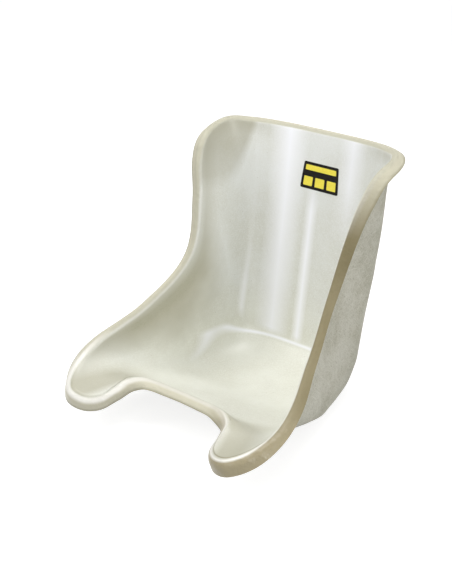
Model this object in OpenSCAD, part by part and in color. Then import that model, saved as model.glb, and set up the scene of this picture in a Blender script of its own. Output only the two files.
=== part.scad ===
// Kart racing seat, hand laid in glass fibre.
// The sitter faces -Y, +Z is up, and the seat stands on z = 0 with its middle on the Z axis.
//
// The inside of the seat is one moulded surface. Its cross-sections lie in planes that all
// turn about one line across the seat, the swing line, in front of and above the lap. The
// angle of a plane is 0 where it points straight back and 90 where it points straight down.
// A fraction from -1 to 1 runs across each section, from the right side over the middle
// (0) to the left side. Every layer of the laminate is laid on that surface.

/* [Laminate] */
// Gel coat and fine surface mat on the inside
gel_t = 1.2; // [0.8:0.1:1.6]
// Chopped strand mat and resin behind the gel coat
mat_t = 2.8; // [2.2:0.1:3.4]
// Extra mat in each reinforcing patch
patch_t = 1.2; // [0.6:0.1:1.6]

/* [Widths between the side walls] */
// At the shoulders, where the rim turns into the top edge
shoulder_w = 388; // [368:1:408]
// At the waist, the narrowest place
waist_w = 320; // [300:1:340]
// At the thighs, the widest place
thigh_w = 446; // [428:1:464]

/* [Back] */
// Lean of the back from upright, in degrees
back_lean = 8; // [6.5:0.5:9.5]
// Distance of the crease between back and pan behind the middle
crease_y = 201.5; // [197:0.5:206]
// Height of the crease
crease_z = 46.5; // [44:0.5:49]
// Width over which the crease is rounded
crease_soft = 9; // [6:1:14]

/* [Pan] */
// Height of the front edge of the pan, in the notch between the thighs
notch_z = 101.5; // [97:0.5:106]
// Height of the two thigh lobes at their tips
lobe_z = 62.5; // [58:0.5:67]

/* [Lip] */
// Bend radius of the lip, on the inside of the seat
lip_bend = 7; // [6.4:0.1:8]
// Width of the lip beyond its bend, at the waist
lip_flat = 11; // [9:0.5:13]
// How far the lip is rolled outward along the sides, in degrees
side_turn = 125; // [112:1:132]
// Width of the roving laid in the corner behind the lip
rope_w = 9; // [8:0.5:11]

/* [Label] */
// Width of the label
label_w = 86; // [70:1:90]
// Height of the label
label_h = 54; // [44:1:58]
// Thickness of the label above the gel coat
label_t = 0.3; // [0.2:0.05:0.4]

/* [Hidden] */

// ---- The moulded surface -------------------------------------------------------------

// The swing line
swing_y = -180.5;
swing_z = 579;

// A smooth curve through values v at places k, with its slopes worked out once
function slopes(k, v) =
    let (
        last = len(k) - 1,
        h = [for (i = [0:last - 1]) k[i + 1] - k[i]],
        d = [for (i = [0:last - 1]) (v[i + 1] - v[i]) / h[i]]
    )
    [
        d[0],
        for (i = [1:last - 1]) (h[i] * d[i - 1] + h[i - 1] * d[i]) / (h[i - 1] + h[i]),
        d[last - 1]
    ];
function curve(k, v) = [k, v, slopes(k, v)];
function span(k, t, i = 0) = (i >= len(k) - 2 || t < k[i + 1]) ? i : span(k, t, i + 1);
function at(c, t) =
    let (
        i = span(c[0], t),
        h = c[0][i + 1] - c[0][i],
        s = (t - c[0][i]) / h,
        m0 = c[2][i] * h,
        m1 = c[2][i + 1] * h,
        v0 = c[1][i],
        v1 = c[1][i + 1]
    )
    s < 0 ? v0 + m0 * s
    : s > 1 ? v1 + m1 * (s - 1)
    : v0 * (1 + 2 * s) * (1 - s) * (1 - s) + m0 * s * (1 - s) * (1 - s)
        + v1 * s * s * (3 - 2 * s) - m1 * s * s * (1 - s);

// Angle and distance of a side-view point [y, z] from the swing line
function swing_angle(p) = atan2(swing_z - p[1], p[0] - swing_y);
function swing_radius(p) = norm([p[0] - swing_y, swing_z - p[1]]);

// Side-view points of the pan, from the crease forward. Between the first and the last of
// the three floor points the laminate would reach below z = 0, where a little of it is
// ground off to make the flat that the seat stands on. The pan line runs on to the tips of
// the lobes. Round the notch the pan is swept up to the notch line.
floor_lift = 0.2;
floor_dip = 0.7;
floor_z = gel_t + mat_t + patch_t + floor_lift;
pan_back = [
    [crease_y, crease_z],
    [168.5, 16],
    [116.5, floor_z],
    [83.5, floor_z - floor_dip],
    [50.5, floor_z]
];
lobe_tip = [-272.5, lobe_z];
pan_line = [
    each pan_back, [-3.5, 19], [-63.5, 36], [-118.5, 52], [-166.5, 62], [-214.5, 64.5], lobe_tip
];
notch_line = [
    each pan_back, [-3.5, 21], [-63.5, 40.5], [-118.5, 66.5], [-166.5, notch_z],
    [-214.5, notch_z - 20], lobe_tip
];
function line_radius(line) =
    curve([for (p = line) swing_angle(p)], [for (p = line) swing_radius(p)]);
pan_radius = line_radius(pan_line);
notch_radius = line_radius(notch_line);

// The notch's edge has its middle at the angle notch_a, and lies notch_open degrees further
// on at notch_x from the middle. The pan begins to sweep up sweep_w before it.
notch_a = 87.2;
notch_x = 110;
notch_open = 4.5;
notch_power = 4.2;
sweep_w = 55;
mm_per_degree = 8.9;
// How far a place x mm from the middle is swept up, from 0 on the pan to 1 at the notch
function swept_up(a, x) =
    let (
        out = x / notch_x,
        edge_a = notch_a + notch_open * pow(out, notch_power),
        slope = mm_per_degree * notch_open * notch_power * pow(out, notch_power - 1) / notch_x,
        far = (edge_a - a) * mm_per_degree / sqrt(1 + slope * slope) / sweep_w,
        t = min(max(far, 0), 1)
    )
    1 - t * t * (3 - 2 * t);

// Distance of the back's middle line from the swing line. It is straight from the crease up.
back_end = 75;
function back_radius(a) =
    (crease_y - swing_y + tan(back_lean) * (swing_z - crease_z))
    / (cos(a) + tan(back_lean) * sin(a));

// Where back and pan meet, the smaller radius wins and the change is rounded
function rounded_min(a, b, soft) =
    let (h = max(soft - abs(a - b), 0) / soft)
    min(a, b) - h * h * soft / 4;
// Distance of the floor from the swing line, given how far it is swept up
function floor_radius(a, up) =
    let (pan = at(pan_radius, a) + (at(notch_radius, a) - at(pan_radius, a)) * up)
    a > back_end ? pan : rounded_min(back_radius(a), pan, crease_soft);

// Stations along the rim: top, shoulder, arm, rib, waist, hip, thigh and lobe tip
station = [8, 16, 24, 38, 54, 72, 90, 100];
half_width = curve(station, [
    shoulder_w / 2 + 10,
    shoulder_w / 2,
    shoulder_w / 2 - 7.5,
    waist_w / 2 + 9,
    waist_w / 2,
    thigh_w / 2 - 35,
    thigh_w / 2,
    thigh_w / 2 - 10
]);
rim_radius = curve(station, [350, 340, 322, 342, 393, 425, 458, 480]);

// Shape of the cross-sections: how far the floor runs out flat, how far the side wall runs
// down straight, and how much the wall leans out, each as a fraction
shape_station = [10, 35, 55, 75, 95];
flat_share = curve(shape_station, [0.6, 1, 1, 1, 0.5]);
wall_share = curve(shape_station, [0.4, 0, 0, 0, 0.4]);
wall_lean = curve(shape_station, [0.01, 0, 0, 0, 0.04]);

// The half section in the plane at angle a has six control points. Their distances across
// come first: the second one eases the flat floor into the corner. Their heights above the
// floor, up to the rim's, come after it.
floor_ease = 0.55;
function section_across(a) =
    let (
        wide = at(half_width, a),
        flat = at(flat_share, a),
        wall = at(wall_share, a),
        base = wide * (1 - at(wall_lean, a))
    )
    [
        0,
        floor_ease * flat * base,
        flat * base,
        base + wall * (wide - base),
        base + (1 + wall) / 2 * (wide - base),
        wide
    ];
function section_height(a, top) =
    let (wall = at(wall_share, a))
    [0, 0, 0, wall * top, (1 + wall) / 2 * top, top];
function bezier(p, s) =
    let (r = 1 - s)
    p[0] * pow(r, 5) + p[1] * 5 * s * pow(r, 4) + p[2] * 10 * pow(s, 2) * pow(r, 3)
    + p[3] * 10 * pow(s, 3) * pow(r, 2) + p[4] * 5 * pow(s, 4) * r + p[5] * pow(s, 5);

// The point of the inside face at angle a and fraction q, and the unit normal there that
// points out of the seat
function inside(a, q) =
    let (
        x = bezier(section_across(a), abs(q)),
        middle = floor_radius(a, swept_up(a, x)),
        top = middle - at(rim_radius, a),
        r = middle - bezier(section_height(a, top), abs(q))
    )
    [sign(q) * x, swing_y + r * cos(a), swing_z - r * sin(a)];
// Small steps in degrees and in fraction, to find directions along the surface
tiny_a = 0.05;
tiny_q = 0.001;
function unit(v) = v / norm(v);
function normal(a, q) =
    unit(cross(
        inside(a, q + tiny_q) - inside(a, q - tiny_q),
        inside(a + tiny_a, q) - inside(a - tiny_a, q)
    ));

// ---- The rim -------------------------------------------------------------------------

// Places of the left half of the rim, [angle, fraction], from the middle of the top edge
// round the shoulder, down the side, round the lobe and into the middle of the notch
side_step = 7.5;
rim_place = [
    [11.8, 0], [11.8, 0.3], [11.9, 0.54], [12.3, 0.75], [14.2, 0.9], [15.5, 0.965], [17, 1],
    for (a = [25:side_step:70]) [a, 1],
    [75.5, 1], [80.5, 1], [86.3, 0.99], [91.6, 0.925], [96.7, 0.84], [99, 0.768],
    [100.3, 0.69], [99.9, 0.575], [97.8, 0.481], [94, 0.412], [91, 0.355], [88.9, 0.27],
    [87.6, 0.187], [notch_a, 0.093], [notch_a, 0]
];
rim_point = [for (p = rim_place) inside(p[0], p[1])];
function run(i) = i == 0 ? 0 : run(i - 1) + norm(rim_point[i] - rim_point[i - 1]);
last = len(rim_place) - 1;
rim_run = [for (i = [0:last]) run(i)];
// One place more at each end, mirrored, so that the curve crosses the middle squarely
rim_key = [-rim_run[1], each rim_run, 2 * rim_run[last] - rim_run[last - 1]];
rim_a = curve(rim_key, [
    rim_place[1][0], for (p = rim_place) p[0], rim_place[last - 1][0]
]);
rim_q = curve(rim_key, [
    -rim_place[1][1], for (p = rim_place) p[1], -rim_place[last - 1][1]
]);

// Steps round the rim: two between each pair of places
half = 2 * last;
around = 2 * half;
function key(i) = i % 2 == 0 ? rim_run[i / 2] : (rim_run[(i - 1) / 2] + rim_run[(i + 1) / 2]) / 2;
function edge_place(i) =
    i <= half ? [at(rim_a, key(i)), at(rim_q, key(i))]
    : [at(rim_a, key(around - i)), -at(rim_q, key(around - i))];
edge = [for (i = [0:around - 1]) edge_place(i)];

// The surface is divided by lines that run in from the rim to an inner ring, a long narrow
// loop on the middle of back and pan. One line lies along the crease, with its neighbours
// close beside it.
crease_step = 22;
crease_angle = swing_angle([crease_y, crease_z]);
beside = 1.3;
inner_angle = curve(
    [
        0, crease_step - 4, crease_step - 1, crease_step, crease_step + 1, crease_step + 4,
        34, 46, half
    ],
    [24, 45, crease_angle - beside, crease_angle, crease_angle + beside, 62, 70, 76, 76.5]
);
inner_share = curve([0, 5, 26, 36, 46, 51, half], [0, 0.1, 0.1, 0.2, 0.22, 0.14, 0]);
function inner(i) =
    i <= half ? [at(inner_angle, i), at(inner_share, i)]
    : [at(inner_angle, around - i), -at(inner_share, around - i)];

// Rings from the inner ring (0) to the rim (rings). The last but one lies inside the rim by
// the rope's width, and a little more where the lines run slantwise.
rings = 10;
slant = 1.1;
function ring_share(i, k) =
    let (length = norm(inside(edge[i][0], edge[i][1]) - inside(inner(i)[0], inner(i)[1])))
    k == rings ? 1 : (1 - slant * rope_w / length) * k / (rings - 1);
function place(i, k) = inner(i) + (edge[i] - inner(i)) * ring_share(i, k);
grid_place = [for (i = [0:around - 1]) [for (k = [0:rings]) place(i, k)]];
grid_point = [for (row = grid_place) [for (p = row) inside(p[0], p[1])]];
grid_normal = [for (row = grid_place) [for (p = row) normal(p[0], p[1])]];

// At each step round the rim, the direction in which the lip leaves the surface
function lip_out(i) =
    let (
        ahead = grid_point[(i + 1) % around][rings],
        behind = grid_point[(i + around - 1) % around][rings]
    )
    unit(cross(grid_normal[i][rings], ahead - behind));
lip_dir = [for (i = [0:around - 1]) -lip_out(i)];

// ---- The layers ----------------------------------------------------------------------

// Reinforcing patches lie between the gel coat and the mat and feather out to nothing. The
// middle patch covers the inner ring and runs out to this ring.
middle_ring = 3;
function ramp(d, flat) = min(max((1 - abs(d)) / (1 - flat), 0), 1);
function middle_share(i, k) = ramp(k / middle_ring, 0.6);

// A stay patch backs the side wall where a seat stay is bolted on: [middle step round the
// rim, half its length in steps]. It lies midway between the middle patch and the lip.
stay_ring = (middle_ring + rings - 1) / 2;
rear_stay = [19, 3];
front_stay = [29, 3];
function stay_share(stay, side, i, k) =
    let (step = side > 0 ? i : around - i)
    ramp((step - stay[0]) / stay[1], 0.5) * ramp((k - stay_ring) / (rings - 1 - stay_ring), 0.4);
function patch_at(i, k) =
    patch_t * max(
        middle_share(i, k),
        stay_share(rear_stay, 1, i, k),
        stay_share(rear_stay, -1, i, k),
        stay_share(front_stay, 1, i, k),
        stay_share(front_stay, -1, i, k)
    );

// Width of the lip beyond its bend and how far it is rolled, along the rim from the top edge
// (0) to the notch (1). It is widest at the shoulders and the lobes.
lip_station = [0, 0.12, 0.22, 0.35, 0.5, 0.65, 0.8, 0.9, 1];
flat_width = curve(lip_station, [
    lip_flat - 6, lip_flat - 2, lip_flat + 10, lip_flat + 7, lip_flat,
    lip_flat + 6, lip_flat + 13, lip_flat + 7, lip_flat + 3
]);
lip_turn = curve(lip_station, [100, 106, 120, side_turn, side_turn, 115, 97, 90, 90]);
function along_rim(i) = key(min(i, around - i)) / rim_run[last];
flat_here = [for (i = [0:around - 1]) at(flat_width, along_rim(i))];
turn_here = [for (i = [0:around - 1]) at(lip_turn, along_rim(i))];

// The lip, row by row beyond the rim: round its bend, then along its flat
bend_steps = 4;
flat_steps = 2;
lip_rows = bend_steps + flat_steps;
function lip_point(i, row, depth) =
    let (
        turn = turn_here[i] * min(row / bend_steps, 1),
        along = max(row - bend_steps, 0) / flat_steps * flat_here[i],
        bend = lip_bend - depth
    )
    grid_point[i][rings]
    + lip_dir[i] * (bend * sin(turn) + along * cos(turn))
    + grid_normal[i][rings] * (lip_bend - bend * cos(turn) + along * sin(turn));

// A layer's surface at a depth behind the inside of the seat, with the patches or without
function layer_point(i, k, depth, patched) =
    k > rings ? lip_point(i, k - rings, depth)
    : grid_point[i][k] + grid_normal[i][k] * (depth + (patched ? patch_at(i, k) : 0));

rows = rings + lip_rows;
// Points of a layer in one list, row by row
function sheet(depth, patched) = [
    for (k = [0:rows]) for (i = [0:around - 1]) layer_point(i, k, depth, patched)
];
sheet_size = (rows + 1) * around;
function index(i, k) = k * around + i % around;

// Two triangles of one cell of a layer. Each quarter of the seat is divided the other way
// from its neighbours. The inner ring is closed by rungs across the middle.
function cell(i, k) =
    let (
        a = index(i, k),
        b = index(i + 1, k),
        c = index(i + 1, k + 1),
        d = index(i, k + 1)
    )
    floor(2 * i / half) % 2 == 0 ? [[c, b, a], [d, c, a]] : [[d, b, a], [d, c, b]];
function turned(f) = [f[2], f[1], f[0]];
function shifted(f, by) = [f[0] + by, f[1] + by, f[2] + by];
cells = [
    [1, around - 1, 0],
    for (i = [1:half - 2]) each [
        [i + 1, around - i, i],
        [i + 1, around - i - 1, around - i]
    ],
    [half, half + 1, half - 1],
    for (k = [0:rows - 1]) for (i = [0:around - 1]) each cell(i, k)
];

// A closed layer between two sheets of points, joined along the free edge of the lip
module layer(near, far) {
    rim_faces = [
        for (i = [0:around - 1]) each [
            [index(i, rows), index(i + 1, rows) + sheet_size, index(i + 1, rows)],
            [index(i, rows), index(i, rows) + sheet_size, index(i + 1, rows) + sheet_size]
        ]
    ];
    polyhedron(
        points = concat(near, far),
        faces = concat(
            cells,
            [for (f = cells) turned(shifted(f, sheet_size))],
            rim_faces
        )
    );
}

// One reinforcing patch, given its share of the full thickness at each point in list order.
// Outside the patch both its faces use the same points, and those triangles are left out.
module patch(share) {
    used = [for (f = cells) if (max(share[f[0]], share[f[1]], share[f[2]]) > 0) f];
    function far(v) = share[v] > 0 ? v + sheet_size : v;
    polyhedron(
        points = concat(sheet(gel_t, false), sheet(gel_t, true)),
        faces = concat(used, [for (f = used) [far(f[2]), far(f[1]), far(f[0])]])
    );
}

// ---- The pieces ----------------------------------------------------------------------

// Gel coat with its surface mat: the smooth face of the seat, round the lip to its edge
module gel_skin() {
    color([0.87, 0.88, 0.82])
        layer(sheet(0, false), sheet(gel_t, false));
}

// The structural laminate, draped over the patches, ground flat underneath
module mat_shell() {
    // The block below z = 0 that takes the ground part away
    ground = 600;
    color([0.78, 0.77, 0.69])
        difference() {
            layer(sheet(gel_t, true), sheet(gel_t + mat_t, true));
            translate([-ground / 2, -ground / 2, -ground])
                cube([ground, ground, ground]);
        }
}

// Resin-soaked roving that fills the corner behind the lip, from the top to the notch
module lip_rope(side) {
    depth = gel_t + mat_t;
    // Share of the lip's flat that it covers, and the swell of its free side
    reach = 0.7;
    bulge = 1.2;
    slope_shares = [0.35, 0.7];
    steps = [for (i = [0:half]) side > 0 ? i : (around - i) % around];
    function foot(i) = layer_point(i, rings - 1, depth, false);
    function head(i) =
        lip_point(i, bend_steps, depth) * (1 - reach) + lip_point(i, lip_rows, depth) * reach;
    function slope(i, s) =
        head(i) * (1 - s) + foot(i) * s
        + (grid_normal[i][rings] - lip_dir[i]) * bulge * sin(180 * s) / sqrt(2);
    function ring(i) = [
        foot(i),
        for (row = [0:bend_steps]) lip_point(i, row, depth),
        head(i),
        for (s = slope_shares) slope(i, s)
    ];
    count = bend_steps + 3 + len(slope_shares);
    points = [for (i = steps) each ring(i)];
    walls = [
        for (s = [0:half - 1]) for (j = [0:count - 1])
            let (
                a = s * count + j,
                b = s * count + (j + 1) % count,
                c = a + count,
                d = b + count
            )
            each [[a, d, c], [a, b, d]]
    ];
    caps = [
        for (j = [1:count - 2]) [0, j + 1, j],
        for (j = [1:count - 2]) [half * count, half * count + j, half * count + j + 1]
    ];
    faces = concat(walls, caps);
    color([0.70, 0.66, 0.52])
        polyhedron(points = points, faces = side > 0 ? faces : [for (f = faces) turned(f)]);
}
module lip_rope_left() lip_rope(1);
module lip_rope_right() lip_rope(-1);

patch_colour = [0.74, 0.74, 0.66];
module middle_patch() {
    color(patch_colour)
        patch([for (k = [0:rows]) for (i = [0:around - 1]) middle_share(i, k)]);
}
module stay_patch(stay, side) {
    color(patch_colour)
        patch([for (k = [0:rows]) for (i = [0:around - 1]) stay_share(stay, side, i, k)]);
}
module stay_patch_rear_left() stay_patch(rear_stay, 1);
module stay_patch_rear_right() stay_patch(rear_stay, -1);
module stay_patch_front_left() stay_patch(front_stay, 1);
module stay_patch_front_right() stay_patch(front_stay, -1);

// ---- The label -----------------------------------------------------------------------

// Middle of the label on the back, in degrees about the swing line, and what one
// millimetre up and across is there in degrees and in fraction
label_a = 22.4;
label_here = inside(label_a, 0);
degree_per_mm = tiny_a / norm(inside(label_a + tiny_a, 0) - label_here);
share_per_mm = 0.1 / inside(label_a, 0.1)[0];

// A thin block that follows the back, centred x across and z up from the label's middle, in
// cells of about this size
label_cell = 9;
module label_piece(x, z, w, h, above, below) {
    columns = ceil(w / label_cell);
    levels = ceil(h / label_cell);
    function spot(i, j, depth) =
        let (
            a = label_a - (z + h * (j / levels - 0.5)) * degree_per_mm,
            q = (x + w * (i / columns - 0.5)) * share_per_mm
        )
        inside(a, q) + normal(a, q) * depth;
    size = (columns + 1) * (levels + 1);
    points = [
        for (depth = [-above, below]) for (j = [0:levels]) for (i = [0:columns])
            spot(i, j, depth)
    ];
    function n(i, j) = j * (columns + 1) + i;
    front = [
        for (j = [0:levels - 1]) for (i = [0:columns - 1])
            each [
                [n(i, j), n(i + 1, j + 1), n(i + 1, j)],
                [n(i, j), n(i, j + 1), n(i + 1, j + 1)]
            ]
    ];
    ring = [
        for (i = [0:columns - 1]) n(i, 0),
        for (j = [0:levels - 1]) n(columns, j),
        for (i = [columns:-1:1]) n(i, levels),
        for (j = [levels:-1:1]) n(0, j)
    ];
    sides = [
        for (s = [0:len(ring) - 1])
            let (a = ring[s], b = ring[(s + 1) % len(ring)])
            each [[b, a + size, a], [b, b + size, a + size]]
    ];
    polyhedron(
        points = points,
        faces = concat(front, [for (f = front) turned(shifted(f, size))], sides)
    );
}
module label_block(above, below) label_piece(0, 0, label_w, label_h, above, below);

// The printed marks: one broad bar over a row of three blocks, with this gap round each
mark_gap = 6;
print_t = label_t / 2;
module label_marks(above, below) {
    bar_h = label_h * 0.2;
    block_h = label_h * 0.34;
    bar_w = label_w - 2 * mark_gap;
    block_w = (bar_w - 2 * mark_gap) / 3;
    label_piece(0, label_h / 2 - mark_gap - bar_h / 2, bar_w, bar_h, above, below);
    for (i = [-1:1])
        label_piece(
            i * (block_w + mark_gap), -label_h / 2 + mark_gap + block_h / 2,
            block_w, block_h, above, below
        );
}

// The film is moulded to the gel coat under it
module label_film() {
    color([0.06, 0.06, 0.06])
        difference() {
            label_block(label_t, gel_t);
            label_marks(2 * label_t, -print_t);
            layer(sheet(0, false), sheet(2 * gel_t, false));
        }
}
module label_print() {
    color([0.93, 0.84, 0.15])
        label_marks(label_t, -print_t);
}

gel_skin();
mat_shell();
lip_rope_left();
lip_rope_right();
middle_patch();
stay_patch_rear_left();
stay_patch_rear_right();
stay_patch_front_left();
stay_patch_front_right();
label_film();
label_print();
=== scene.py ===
# %% [markdown]
# # A kart racing seat, hand laid in glass fibre
#
# The seat is one thin shell: a smooth gel coat on the side that the driver touches, and
# layers of chopped strand mat and resin behind it. Its free edge is rolled outward into a
# lip. The CAD model fixes every size and place. This script builds the same
# surface again from its formula, much finer, and gives each layer its own finish.

import math

import bpy
import numpy as np
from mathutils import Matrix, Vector


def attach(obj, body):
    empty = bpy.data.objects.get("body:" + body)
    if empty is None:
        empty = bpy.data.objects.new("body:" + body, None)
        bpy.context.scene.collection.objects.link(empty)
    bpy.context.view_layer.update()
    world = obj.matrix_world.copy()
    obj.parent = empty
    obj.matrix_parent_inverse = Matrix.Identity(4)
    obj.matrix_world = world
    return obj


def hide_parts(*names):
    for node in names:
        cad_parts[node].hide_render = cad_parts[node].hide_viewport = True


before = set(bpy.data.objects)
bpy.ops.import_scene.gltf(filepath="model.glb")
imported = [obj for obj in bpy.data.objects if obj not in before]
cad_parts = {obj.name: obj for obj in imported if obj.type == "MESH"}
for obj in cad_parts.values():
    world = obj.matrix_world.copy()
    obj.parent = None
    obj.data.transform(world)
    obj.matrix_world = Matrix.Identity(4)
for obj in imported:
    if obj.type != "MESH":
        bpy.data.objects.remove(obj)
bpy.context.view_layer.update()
MM = 0.001  # the CAD sizes are in millimetres, Blender's are in metres
print("CAD nodes:", ", ".join(sorted(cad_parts)))

# %% [markdown]
# ## Curves
#
# A handful of widths and radii is known at some stations, and a smooth curve runs through
# them. Blender's own curves could do it, but the CAD model uses cubic pieces with averaged
# slopes, and only the same rule gives the same surface. NumPy works on all points at once.


# %% A smooth curve through a few values
def curve(keys, values):
    """A function that runs smoothly through values at keys, and straight on beyond them."""
    k = np.array(keys, float)
    v = np.array(values, float)
    step = np.diff(k)
    slope = np.diff(v) / step
    inner = (step[1:] * slope[:-1] + step[:-1] * slope[1:]) / (step[:-1] + step[1:])
    m = np.concatenate([slope[:1], inner, slope[-1:]])

    def at(t):
        t = np.asarray(t, float)
        i = np.clip(np.searchsorted(k, t, side="right") - 1, 0, len(step) - 1)
        h = step[i]
        s = (t - k[i]) / h
        c = np.clip(s, 0, 1)
        between = (
            v[i] * (1 + 2 * c) * (1 - c) ** 2
            + m[i] * h * c * (1 - c) ** 2
            + v[i + 1] * c**2 * (3 - 2 * c)
            - m[i + 1] * h * c**2 * (1 - c)
        )
        before = np.where(s < 0, m[i] * h * s, 0)
        beyond = np.where(s > 1, m[i + 1] * h * (s - 1), 0)
        return between + before + beyond

    return at


print("halfway between 0 and 10:", curve([0, 1, 2], [0, 10, 10])(0.5))


# %% [markdown]
# ## The side view
#
# Seen from the side, the seat is a straight back, leaning 8 degrees, and a pan that dips
# and then rises gently to the front. Round the notch between the thighs the pan is swept up
# to a higher line. All of them are written as a distance from the swing line, a line across
# the seat in front of the chest. The angle there is 0 straight back and 90 straight down.

# %% Back, pan and the rounded crease between them
GEL_T, MAT_T, PATCH_T = 1.2, 2.8, 1.2  # gel coat, chopped strand mat, extra patch layer
FLOOR_Z = GEL_T + MAT_T + PATCH_T + 0.2  # height of the pan where its flat begins
SWING_Y, SWING_Z = -180.5, 579
CREASE_Y, CREASE_Z, CREASE_SOFT = 201.5, 46.5, 9
LEAN = math.tan(math.radians(8))
BACK_END = 75  # past this angle only the pan counts
NEVER_ZERO = 0.05  # keeps the back's formula finite past its end
PAN_BACK = [
    (CREASE_Y, CREASE_Z), (168.5, 16), (116.5, FLOOR_Z), (83.5, FLOOR_Z - 0.7), (50.5, FLOOR_Z)
]
LOBE_TIP = (-272.5, 62.5)
PAN_LINE = PAN_BACK + [
    (-3.5, 19), (-63.5, 36), (-118.5, 52), (-166.5, 62), (-214.5, 64.5), LOBE_TIP
]
NOTCH_LINE = PAN_BACK + [
    (-3.5, 21), (-63.5, 40.5), (-118.5, 66.5), (-166.5, 101.5), (-214.5, 81.5), LOBE_TIP
]


def swing_angle(y, z):
    return math.degrees(math.atan2(SWING_Z - z, y - SWING_Y))


def line_radius(line):
    """Distance from the swing line at each angle, for a line of (y, z) places."""
    return curve(
        [swing_angle(y, z) for y, z in line],
        [math.hypot(y - SWING_Y, SWING_Z - z) for y, z in line],
    )


pan_radius, notch_radius = line_radius(PAN_LINE), line_radius(NOTCH_LINE)
crease = swing_angle(CREASE_Y, CREASE_Z)
print(f"crease at {crease:.1f} degrees")

# %% [markdown]
# Back and pan could be two surfaces with a fillet between them, but then the gloss would
# show where one ends. Here the nearer of the two distances counts, and close to the crease
# a soft minimum rounds one into the other.


# %% The floor of the seat, with its rounded crease
def middle_radius(a, swept_up):
    """Distance of the floor from the swing line, on the pan (0) or up at the notch (1)."""
    pan = pan_radius(a) + (notch_radius(a) - pan_radius(a)) * swept_up
    r = np.radians(a)
    reach = CREASE_Y - SWING_Y + LEAN * (SWING_Z - CREASE_Z)
    back = reach / np.maximum(np.cos(r) + LEAN * np.sin(r), NEVER_ZERO)
    near = np.maximum(CREASE_SOFT - np.abs(back - pan), 0) / CREASE_SOFT
    both = np.minimum(back, pan) - near**2 * CREASE_SOFT / 4
    return np.where(a > BACK_END, pan, both)


print(f"the crease lies {middle_radius(crease, 0):.0f} mm from the swing line")

# %% [markdown]
# ## The moulded surface
#
# Each cross-section through the swing line is half a bucket: flat in the middle, round the
# corner and up the side wall. A Bezier curve of degree five draws that with six control
# points, and it has no kink anywhere, which matters on a glossy surface.

# %% Widths, and how the cross-section changes from the back to the front
STATION = [8, 16, 24, 38, 54, 72, 90, 100]
half_width = curve(STATION, [204, 194, 186.5, 169, 160, 188, 223, 213])
rim_radius = curve(STATION, [350, 340, 322, 342, 393, 425, 458, 480])
SHAPE_STATION = [10, 35, 55, 75, 95]
flat_share = curve(SHAPE_STATION, [0.6, 1, 1, 1, 0.5])
wall_share = curve(SHAPE_STATION, [0.4, 0, 0, 0, 0.4])
wall_lean = curve(SHAPE_STATION, [0.01, 0, 0, 0, 0.04])
WAIST_A = 54  # angle of the narrowest place
print(f"half width {half_width(WAIST_A):.0f} mm at the waist, {half_width(90):.0f} mm in front")

# %% [markdown]
# The front edge has a notch, and round it the pan is swept up. A soft step of the distance
# from the notch's edge says how far: 0 on the open pan and 1 at the edge.

# %% The sweep round the notch
# The notch's edge lies at NOTCH_A in the middle and NOTCH_OPEN degrees on at NOTCH_X
NOTCH_A, NOTCH_X, NOTCH_OPEN, NOTCH_POWER = 87.2, 110, 4.5, 4.2
SWEEP_W = 55  # how far from the edge the pan begins to sweep up
MM_PER_DEGREE = 8.9  # along the pan, near the notch


def swept_up(a, x):
    """How far a place at angle a, x mm from the middle, is swept up to the notch's edge."""
    out = np.abs(x) / NOTCH_X
    edge_a = NOTCH_A + NOTCH_OPEN * out**NOTCH_POWER
    slope = MM_PER_DEGREE * NOTCH_OPEN * NOTCH_POWER * out ** (NOTCH_POWER - 1) / NOTCH_X
    t = np.clip((edge_a - a) * MM_PER_DEGREE / np.sqrt(1 + slope**2) / SWEEP_W, 0, 1)
    return 1 - t * t * (3 - 2 * t)


print(f"swept up {swept_up(NOTCH_A, 0):.1f} at the notch, {swept_up(70, 0):.1f} on the pan")

# %% [markdown]
# Angle and fraction together name a place of the surface, as longitude and latitude do on
# a globe. One function turns such a place into a point. Its normals come from four points
# close by, because the slopes of a formula this long are easier to measure than to write.

# %% Points and normals of the moulded surface
FLOOR_EASE = 0.55  # places the second control point between the middle and the flat's end
BINOMIAL = [1, 5, 10, 10, 5, 1]


def inside(a, q):
    """Points of the inside face at angles a and fractions q, -1 to 1 from side to side."""
    a, q = np.broadcast_arrays(np.asarray(a, float), np.asarray(q, float))
    wide, flat, wall = half_width(a), flat_share(a), wall_share(a)
    base = wide * (1 - wall_lean(a))
    across = [0, FLOOR_EASE * flat * base, flat * base, base + wall * (wide - base),
              base + (1 + wall) / 2 * (wide - base), wide]
    s = np.abs(q)
    weight = [c * s**n * (1 - s) ** (5 - n) for n, c in enumerate(BINOMIAL)]
    x = sum(w * p for w, p in zip(weight, across))
    middle = middle_radius(a, swept_up(a, x))
    top = middle - rim_radius(a)
    up = [0, 0, 0, wall * top, (1 + wall) / 2 * top, top]
    r = middle - sum(w * p for w, p in zip(weight, up))
    t = np.radians(a)
    return np.stack([np.sign(q) * x, SWING_Y + r * np.cos(t), SWING_Z - r * np.sin(t)], -1)


def unit(v):
    return v / np.maximum(np.linalg.norm(v, axis=-1, keepdims=True), 1e-12)


def outward(a, q, da=0.05, dq=0.001):
    """Unit normals of the inside face that point out of the seat, into the laminate."""
    along_q = inside(a, q + dq) - inside(a, q - dq)
    along_a = inside(a + da, q) - inside(a - da, q)
    return unit(np.cross(along_q, along_a))


print(f"waist {2 * inside(WAIST_A, 1)[0]:.0f} mm between the side walls")

# %% [markdown]
# ## The rim
#
# The edge of the seat is cut along a line that is drawn on that surface. Its places are
# known for the left half, from the middle of the top edge round the shoulder, down the
# side, round the thigh lobe and into the notch. The right half is its mirror image. Each
# place is an angle and a fraction, so the line stays on the surface when a width changes.

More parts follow.
